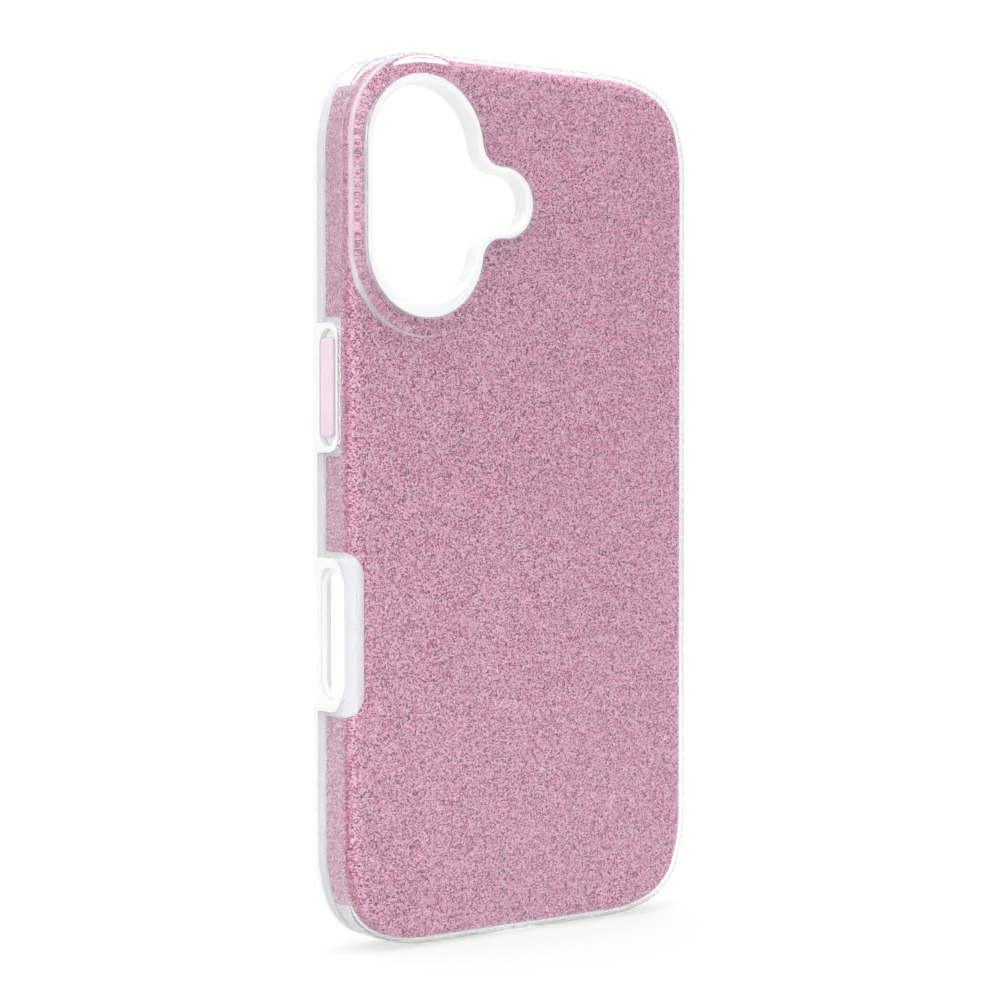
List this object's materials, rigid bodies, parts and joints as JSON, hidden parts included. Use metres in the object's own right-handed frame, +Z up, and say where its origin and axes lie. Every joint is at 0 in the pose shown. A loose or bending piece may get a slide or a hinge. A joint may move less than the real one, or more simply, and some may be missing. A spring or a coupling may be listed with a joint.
{
  "type": "phone case",
  "caption": "Clear hybrid phone case with a folded glitter sheet between liner and shell, a raised bumper round the camera window, a screen lip and press-through side buttons.",
  "frame": {"origin": "centre of the pocket floor, where the back of the phone rests", "axes": "+Z up along the case's length towards the camera end, +Y out of the pocket towards the screen, -Y the decorated back, +X to the right seen from the back"},
  "size_m": [0.0764, 0.013, 0.1516],
  "materials": {
    "milky_liner": "soft translucent milky elastomer, satin",
    "pink_glitter": "fine pink glitter on a thin film",
    "clear_shell": "polished clear hard plastic",
    "pad_pink": "smooth pale pink key"
  },
  "bodies": {
    "case": {"inner_liner": "milky_liner", "glitter_sheet": "pink_glitter", "outer_shell": "clear_shell", "power_web": "milky_liner", "action_web": "milky_liner", "volume_up_web": "milky_liner", "volume_down_web": "milky_liner"},
    "power_key": {"power_pad": "pad_pink"},
    "action_key": {"action_pad": "pad_pink"},
    "volume_up_key": {"volume_up_pad": "pad_pink"},
    "volume_down_key": {"volume_down_pad": "pad_pink"}
  },
  "joints": [
    {"name": "power_press", "type": "slide", "parent": "case", "child": "power_key", "axis": [1, 0, 0], "range_m": [0, 0.0003], "stiffness_N_per_m": 2000, "deforming": ["power_web"]},
    {"name": "action_press", "type": "slide", "parent": "case", "child": "action_key", "axis": [-1, 0, 0], "range_m": [0, 0.0003], "stiffness_N_per_m": 2000, "deforming": ["action_web"]},
    {"name": "volume_up_press", "type": "slide", "parent": "case", "child": "volume_up_key", "axis": [-1, 0, 0], "range_m": [0, 0.0003], "stiffness_N_per_m": 2000, "deforming": ["volume_up_web"]},
    {"name": "volume_down_press", "type": "slide", "parent": "case", "child": "volume_down_key", "axis": [-1, 0, 0], "range_m": [0, 0.0003], "stiffness_N_per_m": 2000, "deforming": ["volume_down_web"]}
  ]
}
